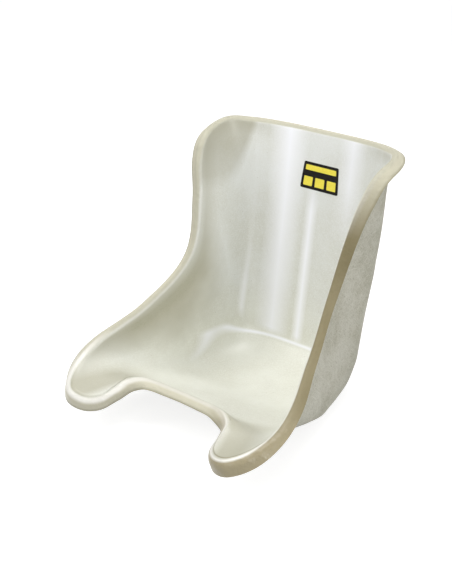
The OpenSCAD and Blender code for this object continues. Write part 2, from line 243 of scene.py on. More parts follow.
# %% The line of the rim, round both halves
RIM_PLACE = (
    [(11.8, 0), (11.8, 0.3), (11.9, 0.54), (12.3, 0.75), (14.2, 0.9), (15.5, 0.965), (17, 1)]
    + [(a, 1) for a in np.arange(25, 71, 7.5)]
    + [(75.5, 1), (80.5, 1), (86.3, 0.99), (91.6, 0.925), (96.7, 0.84), (99, 0.768),
       (100.3, 0.69), (99.9, 0.575), (97.8, 0.481), (94, 0.412), (91, 0.355), (88.9, 0.27),
       (87.6, 0.187), (NOTCH_A, 0.093), (NOTCH_A, 0)]
)
place = np.array(RIM_PLACE)
rim_run = np.concatenate(
    [[0], np.cumsum(np.linalg.norm(np.diff(inside(place[:, 0], place[:, 1]), axis=0), axis=1))]
)
# One mirrored place more at each end, so that the curve crosses the middle squarely
run_key = np.concatenate([[-rim_run[1]], rim_run, [2 * rim_run[-1] - rim_run[-2]]])
mirror_a = np.concatenate([place[1:2, 0], place[:, 0], place[-2:-1, 0]])
mirror_q = np.concatenate([-place[1:2, 1], place[:, 1], -place[-2:-1, 1]])
rim_angle, rim_fraction = curve(run_key, mirror_a), curve(run_key, mirror_q)

FINE = 6  # steps here for each step of the CAD model
HALF = 2 * (len(place) - 1) * FINE
AROUND = 2 * HALF
COARSE = np.arange(AROUND) / FINE  # the CAD model's step number, now with fractions


def folded(step):
    """Steps of the right half counted from the same end as the left half."""
    return np.minimum(step, AROUND / FINE - step)


fold = folded(COARSE)
side = np.where(np.arange(AROUND) <= HALF, 1.0, -1.0)
run_here = np.interp(fold / 2, np.arange(len(place)), rim_run)
edge = np.stack([rim_angle(run_here), side * rim_fraction(run_here)], -1)
print(f"rim {2 * rim_run[-1]:.0f} mm long in {AROUND} steps")

# %% [markdown]
# ## A grid from the middle to the rim
#
# A surface with a curved edge is easiest to mesh with lines that run in from that edge.
# They end on an inner ring, a long narrow loop on the middle of back and pan, and rungs
# across the loop close it. Every line is smooth, so the gloss runs without a break.

# %% The inner ring and the places between it and the rim
CREASE_STEP, CREASE_EASE = 22, 1.3  # the step that meets the crease, degrees of a step there
inner_angle = curve(
    [0, 18, CREASE_STEP - 1, CREASE_STEP, CREASE_STEP + 1, 26, 34, 46, HALF / FINE],
    [24, 45, crease - CREASE_EASE, crease, crease + CREASE_EASE, 62, 70, 76, 76.5],
)
inner_share = curve([0, 5, 26, 36, 46, 51, HALF / FINE], [0, 0.1, 0.1, 0.2, 0.22, 0.14, 0])
inner = np.stack([inner_angle(fold), side * inner_share(fold)], -1)
line_length = np.linalg.norm(
    inside(edge[:, 0], edge[:, 1]) - inside(inner[:, 0], inner[:, 1]), axis=1
)
ROPE_W, SLANT = 9, 1.1  # width of the roving behind the lip, room for its slanting side
rope_share = 1 - SLANT * ROPE_W / line_length  # where the roving behind the lip begins
INNER_ROWS, RIM_ROWS = 36, 6


def line_rows():
    """Shares of each line at which the rows of points lie, close together near the rim."""
    far = np.linspace(0, 1, INNER_ROWS + 1)[:, None] * rope_share[None, :]
    near = np.linspace(0, 1, RIM_ROWS + 1)[1:, None] * (1 - rope_share)[None, :]
    return np.concatenate([far, rope_share[None, :] + near])


row_share = line_rows()
grid = inner[None] + (edge - inner)[None] * row_share[..., None]
face = inside(grid[..., 0], grid[..., 1])
face_out = outward(grid[..., 0], grid[..., 1])
print(f"grid of {face.shape[0]} rows by {face.shape[1]} steps")

# %% [markdown]
# ## The lip
#
# At the rim the laminate is rolled outward with a radius of 7 mm and ends in a flat flange.
# Along the sides it is rolled well past a right angle, which makes the rim kind to arms and
# legs. The wet laminate opens each bend a little, most of all at the notch. That is modelled
# with its real radius, because the highlight on it is what the eye reads as an edge.

# %% Flange width, turn and bend along the rim
LIP_BEND, LIP_FLAT = 7, 11
BEND_ROWS, FLAT_ROWS = 12, 6
LIP_STATION = [0, 0.12, 0.22, 0.35, 0.5, 0.65, 0.8, 0.9, 1]
lip_share = run_here / rim_run[-1]
flat_width = curve(LIP_STATION, [LIP_FLAT + d for d in (-6, -2, 10, 7, 0, 6, 13, 7, 3)])(lip_share)
lip_turn = curve(LIP_STATION, [100, 106, 120, 125, 125, 115, 97, 90, 90])(lip_share)
bend_more = curve(LIP_STATION, [2, 2, 2, 2, 2, 3, 9, 11, 10])(lip_share)  # wider than 7 mm
print(f"lip {flat_width.min() + LIP_BEND:.0f} to {flat_width.max() + LIP_BEND:.0f} mm wide")

# %% [markdown]
# A wider bend in the same corner starts further back on the wall and ends further out on
# the flange. So every row, also the last ones before the rim, gets its place along the
# profile, and those that lie on the bend are moved onto the wider circle.

# %% Places along the profile
rim, rim_out = face[-1], face_out[-1]
ahead = np.roll(rim, -FINE, axis=0) - np.roll(rim, FINE, axis=0)
lip_dir = -unit(np.cross(rim_out, ahead))
turn_all = np.radians(lip_turn)
bend_reach = bend_more * np.tan(turn_all / 2)  # how much earlier the wider bend starts
before_rim = -((face - rim) * lip_dir).sum(-1)
before_rim[: INNER_ROWS - 2] = bend_reach + 1  # the inner rows never lie on the bend
turned = np.concatenate([np.arange(1, BEND_ROWS + 1) / BEND_ROWS, np.ones(FLAT_ROWS)])[:, None]
along = np.concatenate([np.zeros(BEND_ROWS), np.arange(1, FLAT_ROWS + 1) / FLAT_ROWS])[:, None]
profile = bend_reach + np.concatenate(
    [-before_rim, turned * turn_all * LIP_BEND + along * flat_width]
)
profile_end = 2 * bend_reach + turn_all * LIP_BEND
print(f"bend radius {LIP_BEND + bend_more.min():.0f} to {LIP_BEND + bend_more.max():.0f} mm")


# %% Rows of points from the middle out to the free edge
def shell_rows(depth, swell=0.0):
    """Points of all rows at a depth behind the gel coat's face, out to the lip's free edge."""
    turn, width, bend = turned * turn_all, along * flat_width, LIP_BEND - depth
    beyond = np.concatenate([-before_rim, bend * np.sin(turn) + width * np.cos(turn)])
    out = np.concatenate([
        depth + 0 * before_rim, LIP_BEND - bend * np.cos(turn) + width * np.sin(turn)
    ])
    lip = rim + lip_dir * beyond[len(face):, :, None] + rim_out * out[len(face):, :, None]
    wall_depth = depth + swell * np.ones(face.shape[:2])
    points = np.concatenate([face + face_out * wall_depth[..., None], lip])
    new_turn = turn_all * np.clip(profile / profile_end, 0, 1)
    radius = bend + bend_more
    move_beyond = radius * np.sin(new_turn) - bend_reach - beyond
    move_out = LIP_BEND + bend_more - radius * np.cos(new_turn) - out
    bent = ((profile > 0) & (profile < profile_end))[..., None]
    return points + bent * (lip_dir * move_beyond[..., None] + rim_out * move_out[..., None])


LIP_ROWS = BEND_ROWS + FLAT_ROWS
ROWS = face.shape[0] + LIP_ROWS
print(f"{ROWS} rows in all, {LIP_ROWS} of them past the rim")

# %% [markdown]
# ## Layers of the laminate
#
# Each layer is the space between two sheets of points, one behind the other. The extra
# patches under the mat lift it a little, which shows outside as soft swellings.

# %% Where the patches swell the mat
MIDDLE_RING, RINGS = 3, 10  # the middle patch ends at the third of ten rings
STAY_STEPS = {"rear": 19, "front": 29}  # steps of the rim beside which the stays are bolted


def ramp(d, flat):
    """1 in the middle of a patch, feathered out smoothly to 0 at its edge."""
    t = np.clip((1 - np.abs(d)) / (1 - flat), 0, 1)
    return t * t * (3 - 2 * t)


ring = (RINGS - 1) * row_share / rope_share[None, :]
stay_ring = (MIDDLE_RING + RINGS - 1) / 2


def stay_share(middle_step, reach=3):
    """Share of a patch round a step of the rim, which reaches as many steps to each side."""
    lengthwise = ramp((fold - middle_step) / reach, 0.5)
    return lengthwise[None] * ramp((ring - stay_ring) / (RINGS - 1 - stay_ring), 0.4)


middle_share = ramp(ring / MIDDLE_RING, 0.6)
patch_share = np.maximum.reduce([middle_share] + [stay_share(s) for s in STAY_STEPS.values()])
print(f"patches lie under {(patch_share > 0).mean():.0%} of the grid's points")

# %% [markdown]
# A sheet is all the rows at one depth, and the rungs that close its middle. Every sheet has
# its points in the same order, so one list of cells serves them all.

# %% Sheets of points
RUNGS = 8  # cells across the inner ring
rung_share = np.linspace(1, -1, RUNGS + 1)[1:-1]
rung_step = np.arange(1, HALF)
rung_a = np.repeat(inner[rung_step, 0][:, None], RUNGS - 1, axis=1)
rung_q = inner[rung_step, 1][:, None] * rung_share[None, :]
rung_face, rung_out = inside(rung_a, rung_q), outward(rung_a, rung_q)


def sheet(depth, patched):
    """All points of one sheet: the rows from the middle out, then the rungs."""
    swell = PATCH_T * patch_share if patched else 0 * patch_share
    rungs = rung_face + rung_out * (depth + (PATCH_T if patched else 0))
    return shell_rows(depth, swell).reshape(-1, 3), rungs.reshape(-1, 3)


print(f"{ROWS * AROUND + rung_face.size // 3} points in each sheet")


# %% Cells between the points of a sheet
def sheet_cells():
    """Four-sided cells of a sheet, with three-sided ones where the inner ring closes."""
    k, i = np.meshgrid(np.arange(ROWS - 1), np.arange(AROUND), indexing="ij")
    j = (i + 1) % AROUND
    here, next_row = k * AROUND, (k + 1) * AROUND
    cells = np.stack([here + i, here + j, next_row + j, next_row + i], -1)
    cells = [tuple(c) for c in cells.reshape(-1, 4).tolist()]
    first = ROWS * AROUND
    rung = []
    for n, step in enumerate(rung_step):
        row = [first + n * (RUNGS - 1) + m for m in range(RUNGS - 1)]
        rung.append([int(step)] + row + [int(AROUND - step)])
    for a, b in zip(rung[:-1], rung[1:]):
        cells += [(a[m], a[m + 1], b[m + 1], b[m]) for m in range(RUNGS)]
    cells += [(0, rung[0][m + 1], rung[0][m]) for m in range(RUNGS)]
    cells += [(HALF, rung[-1][m], rung[-1][m + 1]) for m in range(RUNGS)]
    return cells


cells = sheet_cells()
print(f"{len(cells)} cells in each sheet")

# %% [markdown]
# ## From points to pieces
#
# `from_pydata` turns lists of points and cells into a mesh. The cells of the far sheet are
# turned over so that all faces look outward, and a band of cells joins both sheets along
# the free edge. Gloss, bumps and other programs all need that: a face's front is where its
# corners run anticlockwise. Smooth shading hides the cells, and the two sharp edges of the
# flange stay sharp because the smoothing stops at 40 degrees.


# %% A piece of the seat as a Blender object
def piece(name, points, faces, node_names, slot, crisp=40):
    """Makes a piece, hides the CAD nodes that it replaces, and prints how many points and faces it
    has.
    """
    mesh = bpy.data.meshes.new(name)
    mesh.from_pydata((np.asarray(points) * MM).tolist(), [], faces)
    mesh.validate()
    obj = bpy.data.objects.new(name, mesh)
    bpy.context.scene.collection.objects.link(obj)
    mesh.shade_smooth()
    mesh.set_sharp_from_angle(angle=math.radians(crisp))
    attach(obj, "root")
    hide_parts(*node_names)
    print(f"{name}: {len(mesh.vertices)} points, {len(mesh.polygons)} faces")
    return obj


def mark(obj, name, values):
    """Stores one number at each point, for the materials to read."""
    layer = obj.data.attributes.new(name, "FLOAT", "POINT")
    layer.data.foreach_set("value", np.asarray(values, np.float32))


def layer_faces(count):
    """Faces of a closed layer whose second sheet starts at that count of points."""
    far = [tuple(v + count for v in reversed(c)) for c in cells]
    last = (ROWS - 1) * AROUND
    band = []
    for i in range(AROUND):
        a, b = last + i, last + (i + 1) % AROUND
        band.append((a, b, b + count, a + count))
    return list(cells) + far + band


# %% The gel coat and the mat behind it
def layer(near_depth, far_depth, patched):
    """Points and faces of the closed space between two depths."""
    near, far = sheet(near_depth, patched), sheet(far_depth, patched)
    points = np.concatenate([*near, *far])
    return points, layer_faces(len(points) // 2)


gel_points, gel_faces = layer(0, GEL_T, False)
gel_skin = piece("gel_skin_fine", gel_points, gel_faces, ["gel_skin"], "gel_coat")
mat_points, mat_faces = layer(GEL_T, GEL_T + MAT_T, True)
mat_points[:, 2] = np.maximum(mat_points[:, 2], 0)  # the underside is ground flat
mat_shell = piece("mat_shell_fine", mat_points, mat_faces, ["mat_shell"], "laminate")

# %% [markdown]
# ## Patches between gel coat and mat
#
# Extra mat is laid where the seat is loaded: down the middle, and where the four seat stays
# are bolted. Its edges are torn, not cut, so they feather out. In the mesh the two sheets
# of a patch share their points along its edge, which gives the same thin end with no gap.


# %% The sealed patches
FEATHER_END = 1e-6  # a share below this counts as none, so that no face lies on another


def patch_piece(node, rows_share, rungs_share):
    """The space between the gel coat and the mat, where one patch lies."""
    lip = np.zeros((LIP_ROWS, AROUND))
    share = np.concatenate([
        np.concatenate([rows_share, lip]).reshape(-1), np.full(rung_face.size // 3, rungs_share)
    ])
    near = np.concatenate(sheet(GEL_T, False))
    away = np.concatenate([
        np.concatenate([face_out, 0 * face_out[:LIP_ROWS]]).reshape(-1, 3),
        rung_out.reshape(-1, 3),
    ])
    used = [c for c in cells if share[list(c)].max() > FEATHER_END]
    old = np.unique([v for c in used for v in c])
    new = {v: n for n, v in enumerate(old)}
    lifted = {v: len(old) + n for n, v in enumerate(old[share[old] > FEATHER_END])}
    raised = near + away * (PATCH_T * share)[:, None]
    points = np.concatenate([near[old], raised[list(lifted)]])
    faces = [tuple(new[v] for v in c) for c in used]
    faces += [tuple(lifted.get(v, new[v]) for v in reversed(c)) for c in used]
    return piece(node + "_fine", points, faces, [node], "patch_mat")


patches = [patch_piece("middle_patch", middle_share, 1.0)]
for end, step in STAY_STEPS.items():
    for name, sign in (("left", 1), ("right", -1)):
        half_share = stay_share(step) * (side == sign)[None, :]
        patches.append(patch_piece(f"stay_patch_{end}_{name}", half_share, 0.0))

# %% [markdown]
# ## Numbers that the finishes need
#
# Resin gathers near the rim and on the lip, and shade is painted there and in the hollow of
# the pan. A finish can't know where those are, so each point carries a few numbers: its
# distance from the rim, its share of the way across the lip, and how hollow the pan is there.


# %% Numbers stored at the points
def mark_layer(obj, name, rows, rung_value):
    """Stores the same numbers on both sheets of a layer."""
    rungs = np.full(rung_face.size // 3, rung_value)
    mark(obj, name, np.tile(np.concatenate([rows.reshape(-1), rungs]), 2))


no_lip = np.zeros((LIP_ROWS, AROUND))
across_lip = np.clip(profile / profile[-1], 0, 1)
run_in = (1 - row_share) * line_length[None, :]
sweep = swept_up(grid[..., 0], face[..., 0])
for obj in (gel_skin, mat_shell):
    mark_layer(obj, "on_lip", across_lip, 0.0)
mark_layer(gel_skin, "from_rim", np.concatenate([run_in, no_lip]), line_length.max())
mark_layer(gel_skin, "hollow", np.concatenate([4 * sweep * (1 - sweep), no_lip]), 0.0)
print(f"no point of the pan lies more than {line_length.max():.0f} mm from the rim")

# %% [markdown]
# ## The rovings behind the lip
#
# A bundle of glass roving, soaked in resin, is pressed into the corner behind the lip. It
# stiffens the edge and carries the flange. One closed section is carried along each half
# of the rim: foot, bend, head and a slightly swollen slope back to the foot.

# %% A closed section carried along half the rim
ROPE_BULGE = 1.2
HEAD_ROW = ROWS - 1 - FLAT_ROWS // 3  # the roving covers two thirds of the flange
SLOPE = np.linspace(0, 1, 9)[1:-1]
behind = shell_rows(GEL_T + MAT_T)  # the back of the laminate, on which the roving lies


def rope_ring(i):
    """The closed section of the roving at one step of the rim."""
    back = behind[INNER_ROWS : HEAD_ROW + 1, i]
    foot, head = back[0], back[-1]
    swell = (rim_out[i] - lip_dir[i]) * ROPE_BULGE / math.sqrt(2)
    slope = [head * (1 - s) + foot * s + swell * math.sin(math.pi * s) for s in SLOPE]
    return [*back, *slope]


def rope(node, steps):
    """The roving along these steps of the rim, closed by a flat face at each end."""
    rings = [rope_ring(i) for i in steps]
    count = len(rings[0])
    faces = []
    for s in range(len(rings) - 1):
        for j in range(count):
            a, b = s * count + j, s * count + (j + 1) % count
            faces.append((a, a + count, b + count, b))
    faces.append(tuple(range(count)))
    faces.append(tuple(reversed(range((len(rings) - 1) * count, len(rings) * count))))
    if steps[1] != 1:
        faces = [tuple(reversed(f)) for f in faces]
    points = np.array([p for r in rings for p in r])
    points[:, 2] = np.maximum(points[:, 2], 0)
    return piece(node + "_fine", points, faces, [node], "roving", crisp=50)


rope_left = rope("lip_rope_left", list(range(HALF + 1)))
rope_right = rope("lip_rope_right", [(AROUND - i) % AROUND for i in range(HALF + 1)])

# %% [markdown]
# ## The label
#
# A thin printed film sits high on the back. Its marks are plain bars and blocks, with no
# words. Film and print are laid on the same formula as the gel coat, so they follow its
# curve. Rounded corners are what tells a cut film from a painted patch.

# %% Places on the label
LABEL_A, LABEL_W, LABEL_H, LABEL_T = 22.4, 86, 54, 0.3
SMALL_A, SMALL_Q = 0.05, 0.1  # a small step each way measures how angles and shares run in mm
degree_per_mm = SMALL_A / np.linalg.norm(inside(LABEL_A + SMALL_A, 0) - inside(LABEL_A, 0))
share_per_mm = SMALL_Q / inside(LABEL_A, SMALL_Q)[0]


def on_label(x, z, depth):
    """A point of the back, x across and z up from the label's middle."""
    a, q = LABEL_A - z * degree_per_mm, x * share_per_mm
    return inside(a, q) + outward(a, q) * depth


print(f"label {on_label(0, 0, 0)[2]:.0f} mm above the ground")

# %% [markdown]
# A bevel on a box could round the corners, but a box isn't curved like the back. So each
# block is a small grid: near the corners its points slide in onto the rounding, and then
# all of them are laid on the back.

# %% A grid with rounded corners
LABEL_CELLS = 24


def rounded_grid(w, h, radius):
    """Places of a grid in a rectangle, slid in near its corners onto the rounding."""
    u, v = np.meshgrid(np.linspace(-1, 1, LABEL_CELLS + 1), np.linspace(-1, 1, LABEL_CELLS + 1))
    px, pz = u * w / 2, v * h / 2
    dx, dz = np.abs(px) - (w / 2 - radius), np.abs(pz) - (h / 2 - radius)
    corner = (dx > 0) & (dz > 0)
    far = np.maximum(np.hypot(dx, dz), 1e-9)
    pull = np.where(corner, np.maximum(dx, dz) / far, 1)
    px = np.where(corner, np.sign(px) * (w / 2 - radius + dx * pull), px)
    pz = np.where(corner, np.sign(pz) * (h / 2 - radius + dz * pull), pz)
    return px.reshape(-1), pz.reshape(-1)


def block_faces():
    """Faces of a block whose two sheets are such grids."""
    n, last = LABEL_CELLS + 1, LABEL_CELLS
    size = n * n
    faces = [
        (j * n + i, j * n + i + 1, (j + 1) * n + i + 1, (j + 1) * n + i)
        for j in range(last) for i in range(last)
    ]
    loop = list(range(n)) + [j * n + last for j in range(1, n)]
    loop += [last * n + i for i in range(last - 1, -1, -1)]
    loop += [j * n for j in range(last - 1, 0, -1)]
    faces += [tuple(v + size for v in reversed(f)) for f in faces]
    return faces + [(a, a + size, b + size, b) for a, b in zip(loop, loop[1:] + loop[:1])]


# %% Thin blocks laid on the back
def rounded_block(x, z, w, h, radius, top, below):
    """Points and faces of a thin block with rounded corners, between two heights."""
    px, pz = rounded_grid(w, h, radius)
    sheets = [on_label(x + px, z + pz, -height) for height in (top, below)]
    return np.concatenate(sheets), block_faces()


def joined(parts):
    """One list of points and faces made of several."""
    points, faces = [], []
    for p, f in parts:
        shift = sum(len(q) for q in points)
        points.append(p)
        faces += [tuple(v + shift for v in c) for c in f]
    return np.concatenate(points), faces


# %% Film and print
MARK_GAP, FILM_ROUND, MARK_ROUND, INK_T = 6, 2.5, 1.5, 0.04
bar_h, block_h = 0.2 * LABEL_H, 0.34 * LABEL_H
bar_w = LABEL_W - 2 * MARK_GAP
block_w = (bar_w - 2 * MARK_GAP) / 3
bar_z = LABEL_H / 2 - MARK_GAP - bar_h / 2
block_z = -LABEL_H / 2 + MARK_GAP + block_h / 2
film = rounded_block(0, 0, LABEL_W, LABEL_H, FILM_ROUND, LABEL_T - INK_T, 0.0)
label_film = piece("label_film_fine", *film, ["label_film"], "label_film")
ink_layer = (MARK_ROUND, LABEL_T, LABEL_T - INK_T)
marks = [rounded_block(0, bar_z, bar_w, bar_h, *ink_layer)]
for n in (-1, 0, 1):
    marks.append(rounded_block(n * (block_w + MARK_GAP), block_z, block_w, block_h, *ink_layer))
label_print = piece("label_print_fine", *joined(marks), ["label_print"], "label_ink")

# %% [markdown]
# ## Finishes
#
# A finish is a small tree of nodes that ends in a Principled shader. Nodes could be placed
# by hand, but a long tree is hard to read that way. The helper below adds a node, sets its
# inputs and makes its links in one line, so that a finish reads as a list of what it is.


# %% A small helper for node trees
class Nodes:
    def __init__(self, tree):
        self.tree = tree

    def feed(self, socket, value):
        """Links a socket to another node's output, or sets it to a plain value."""
        if isinstance(value, bpy.types.NodeSocket):
            self.tree.links.new(value, socket)
        else:
            socket.default_value = value

    def add(self, kind, settings=(), **inputs):
        node = self.tree.nodes.new(kind)
        for key, value in dict(settings).items():
            setattr(node, key, value)
        for key, value in inputs.items():
            self.feed(node.inputs[key.replace("_", " ")], value)
        return node

    def math(self, operation, a, b=0.0):
        node = self.add("ShaderNodeMath", {"operation": operation})
        self.feed(node.inputs[0], a)
        self.feed(node.inputs[1], b)
        return node.outputs[0]

    def product(self, first, *others):
        """All these numbers multiplied. With shares, it is where all of them hold."""
        for other in others:
            first = self.math("MULTIPLY", first, other)
        return first

    def off(self, value, middle):
        """How far a number lies from a middle, to either side."""
        return self.math("ABSOLUTE", self.math("SUBTRACT", value, middle))

    def remap(self, value, low, high, to_low=0.0, to_high=1.0):
        """Runs evenly from to_low at low up to to_high at high, and stays there beyond."""
        node = self.add("ShaderNodeMapRange", Value=value)
        ends = {"From Min": low, "From Max": high, "To Min": to_low, "To Max": to_high}
        for key, number in ends.items():
            node.inputs[key].default_value = number
        return node.outputs[0]

    def blend(self, share, a, b):
        node = self.add("ShaderNodeMix", {"data_type": "RGBA"})
        for socket, value in ((0, share), (6, a), (7, b)):  # factor and both colours
            self.feed(node.inputs[socket], value)
        return node.outputs[2]


# %% [markdown]
# A finish adds to that what a surface needs: noises of the place, numbers stored at the
# points, and bumps. Its colour is built up as a painter would do it: one tone first, and
# other tones laid over it, each with a share between 0 and 1.


# %% A finish, and how it is given to a piece
class Finish(Nodes):
    def __init__(self, name, tone):
        self.material = bpy.data.materials.new(name)
        self.material.use_nodes = True
        super().__init__(self.material.node_tree)
        self.tree.nodes.clear()
        self.shader = self.add("ShaderNodeBsdfPrincipled")
        self.add("ShaderNodeOutputMaterial", Surface=self.shader.outputs[0])
        self.place = self.add("ShaderNodeTexCoord").outputs["Object"]
        self.tone = tone

    def noise(self, scale, detail=2.0, rough=0.5, place=None):
        inputs = {"Scale": scale, "Detail": detail, "Roughness": rough}
        return self.add("ShaderNodeTexNoise", Vector=place or self.place, **inputs).outputs["Fac"]

    def stretched(self, turn, lengths):
        """The place, turned and measured in these lengths, so that a noise is drawn out."""
        inputs = {"Vector": self.place, "Rotation": turn, "Scale": lengths}
        return self.add("ShaderNodeMapping", {"vector_type": "TEXTURE"}, **inputs).outputs[0]

    def marked(self, name):
        return self.add("ShaderNodeAttribute", {"attribute_name": name}).outputs["Fac"]

    def lay(self, share, tone):
        """Lays another tone over the finish, as far as the share says."""
        self.tone = self.blend(share, self.tone, tone)

    def bump(self, height, strength, distance):
        """Bumps of this height in metres. Below zero, the peaks of a noise become pits."""
        node = self.add("ShaderNodeBump", Strength=strength, Distance=distance, Height=height)
        self.feed(self.shader.inputs["Normal"], node.outputs[0])

    def give(self, *objects, **inputs):
        """Sets the shader's inputs and gives the finish to these objects."""
        self.feed(self.shader.inputs["Base Color"], self.tone)
        for key, value in inputs.items():
            self.feed(self.shader.inputs[key.replace("_", " ")], value)
        for obj in objects:
            obj.data.materials.clear()
            obj.data.materials.append(self.material)
        print(f"{self.material.name}: {len(self.tree.nodes)} nodes, pieces: {len(objects)}")


# %% Colours as the eye names them
def colour(r, g, b):
    """A colour as it looks on a screen, 0 to 255, in the linear values that shaders use."""
    def linear(c):
        c /= 255
        return c / 12.92 if c <= 0.04045 else ((c + 0.055) / 1.055) ** 2.4
    return (linear(r), linear(g), linear(b), 1.0)


# AMBER also stands for painted shade: on the lip of one side, and in the dark line along it.
AMBER = colour(120, 110, 78)  # thick resin, on the lip, in the rovings and in the specks
print("amber in linear values:", [round(c, 3) for c in AMBER[:3]])

# %% [markdown]
# ## Chopped strands
#
# Chopped strand mat is made of short bundles of glass that lie in all directions. A noise
# that is drawn out along one direction looks like such bundles, and a few of them turned
# different ways, of which the strongest wins, look like the mat.

# %% Strands in all directions
STRAND_TURNS = [
    (0.3, 0.0), (0.1, 0.7), (-0.2, -0.8), (0.0, 1.5), (1.4, 0.1), (1.7, 0.75), (1.5, -0.7)
]


def strands(finish, width=0.0019, length=0.038):
    """The brightest of some drawn-out noises, each turned another way."""
    best = None
    for about_z, about_y in STRAND_TURNS:
        where = finish.stretched((0.0, about_y, about_z), (length, width, width))
        one = finish.noise(1.0, 1.0, 0.4, where)
        best = one if best is None else finish.math("MAXIMUM", best, one)
    return best


print(f"strands in {len(STRAND_TURNS)} directions")

# %% [markdown]
# ## Gel coat
#
# The inside came out of a polished mould and is smooth and half glossy. The gel coat has
# no pigment, so its colour is that of the glass and resin behind it: nearly white on back
# and pan, and olive towards the rim, partly from thicker resin and partly as painted shade
# on the side walls. Reflections, highlights and shade are painted into it too. An image could
# hold such tones. Here they are worked out from the place and from the stored numbers
# instead, so they follow the shape and stay sharp from close by.

# %% White glass, and olive near the rim: resin and painted shade
BACK_WHITE, PAN_CREAM = colour(227, 229, 226), colour(229, 230, 221)
CLOUDY, OLIVE = colour(220, 220, 210), colour(157, 153, 128)
PAN_Z = (0.16, 0.05)  # between these heights, in metres, the back's tone becomes the pan's
WALL_X = (0.1, 0.16)  # between the flat of the pan and the side walls
FRONT_Y = (-0.2, -0.08)  # the thigh lobes have little olive
NARROW_Z, WEAK_Z, NARROWER = (0.14, 0.3), (0.2, 0.36), 2.2  # high up, there is less olive
OLIVE_MM, STRIP_MM = (25.0, 100.0), 12.0  # from the rim: the olive's fade, a paler strip

gel = Finish("gel_coat_natural", BACK_WHITE)
x, y, z = gel.add("ShaderNodeSeparateXYZ", Vector=gel.place).outputs
aside = gel.math("ABSOLUTE", x)
cloud = gel.noise(9.0, 3.0)
rim_gap = gel.marked("from_rim")
gel.lay(gel.remap(z, *PAN_Z), PAN_CREAM)
gel.lay(gel.remap(cloud, 0.35, 0.7, 0.0, 0.3), CLOUDY)
# The olive is partly thicker resin and partly painted shade on the side walls. Within STRIP_MM of
# the rim it is halved, as a painted lighter strip.
uneven = gel.product(
    gel.remap(cloud, 0.3, 0.7, 0.7, 1.3), rim_gap, gel.remap(z, *NARROW_Z, 1.0, NARROWER)
)
olive_share = gel.product(
    gel.remap(uneven, *OLIVE_MM, 1.0, 0.0),
    gel.remap(rim_gap, 0.0, STRIP_MM, 0.5, 1.0),
    gel.remap(y, *FRONT_Y, 0.3, 1.0),
    gel.remap(aside, *WALL_X),
    gel.remap(z, *WEAK_Z, 0.9, 0.4),
)
gel.lay(olive_share, OLIVE)
print(f"olive ends {OLIVE_MM[1]:.0f} mm from the rim, high up {OLIVE_MM[1] / NARROWER:.0f} mm")

# %% Faint strands and specks in the resin
STRAND_SHADE = colour(190, 188, 171)
gel_strand = strands(gel, 0.0016, 0.02)
grain = gel.product(
    gel.remap(gel_strand, 0.5, 0.68, 0.0, 0.42), gel.remap(cloud, 0.35, 0.6, 0.4, 1.0)
)
gel.lay(grain, STRAND_SHADE)
gel.lay(gel.remap(gel.noise(330.0, 2.0, 0.6), 0.7, 0.76, 0.0, 0.5), AMBER)

# %% [markdown]
# ## Painted reflections down the back
#
# The lamps' reflections on the glossy back are painted into its colour, as pale upright
# bands that end at the crease. The crease is known as an angle round the swing line, so
# the nodes work out that same angle at each place, and turn it into a distance.

# %% How far a place lies in front of the crease
# The colour of every painted reflection and highlight on the gel coat.
HIGHLIGHT_WHITE = colour(248, 249, 253)
CREASE_R = 0.66  # about the crease's distance from the swing line, in metres
below_swing = gel.math("SUBTRACT", SWING_Z * MM, z)
behind_swing = gel.math("SUBTRACT", y, SWING_Y * MM)
angle = gel.math("ARCTAN2", below_swing, behind_swing)
past = gel.product(gel.math("SUBTRACT", angle, math.radians(crease)), CREASE_R)
on_back = gel.remap(past, 0.0, -0.012)  # the bands fade in over 12 mm above the crease
print(f"one degree past the crease is {math.radians(1) * CREASE_R / MM:.1f} mm")

# %% Three painted reflections, and where each shows
REFLECTION_BANDS = [  # middle and half width in metres, strength, where
    (-0.012, 0.016, 1.0, gel.remap(z, 0.40, 0.33)),  # below the label
    (-0.078, 0.045, 1.0, 1.0),
    (0.07, 0.035, 0.8, gel.remap(z, 0.28, 0.40)),  # high up, beside the label
]
for middle, half_wide, strength, where in REFLECTION_BANDS:
    band = gel.remap(gel.off(x, middle), 0.0, half_wide, strength, 0.0)
    gel.lay(gel.product(band, on_back, where), HIGHLIGHT_WHITE)
print(f"{len(REFLECTION_BANDS)} bands on the back")

# %% Painted shade beside the right shoulder, with a slanting edge
SHADE_X, SHADE_Z = (-0.144, -0.156), (0.3, 0.45)
SHADE_TOP, SHADE_SLANT = 0.49, 0.24  # the edge lies at SHADE_X up at SHADE_TOP, and leans
# Painted shade: the back is darkened high up, where it turns into the wall.
drop = gel.math("SUBTRACT", SHADE_TOP, z)
slant = gel.math("ADD", x, gel.product(drop, SHADE_SLANT))
gel.lay(gel.product(gel.remap(slant, *SHADE_X), gel.remap(z, *SHADE_Z), 0.55), OLIVE)

# %% [markdown]
# ## Painted highlights round the pan
#
# In the crease and in the corners beside the back the gloss shows highlights, and they are
# painted in as pale lines. Seen from above, the crease runs straight across and turns forward
# at each end, like the end of a rounded square. A superellipse draws that with one formula:
# the sum of two fourth powers is 1 on the line.

# %% The painted highlight in the crease
PAN_HALF, PAN_ROUND, SQUARENESS = 0.165, 0.12, 4
LINE_END, LINE_Z = (0.08, 0.165), (0.075, 0.062)  # it fades to the front and up the wall
over = gel.math("POWER", gel.math("DIVIDE", aside, PAN_HALF), SQUARENESS)
to_turn = gel.math("SUBTRACT", 1.0, gel.math("DIVIDE", past, PAN_ROUND))
back_part = gel.math("POWER", gel.math("MAXIMUM", to_turn, 0.0), SQUARENESS)
loop = gel.math("ADD", over, back_part)
line = gel.product(
    gel.remap(gel.off(loop, 1.0), 0.02, 0.15, 1.0, 0.0),
    gel.remap(past, *LINE_END, 0.9, 0.0),
    gel.remap(z, *LINE_Z),
)
gel.lay(line, HIGHLIGHT_WHITE)
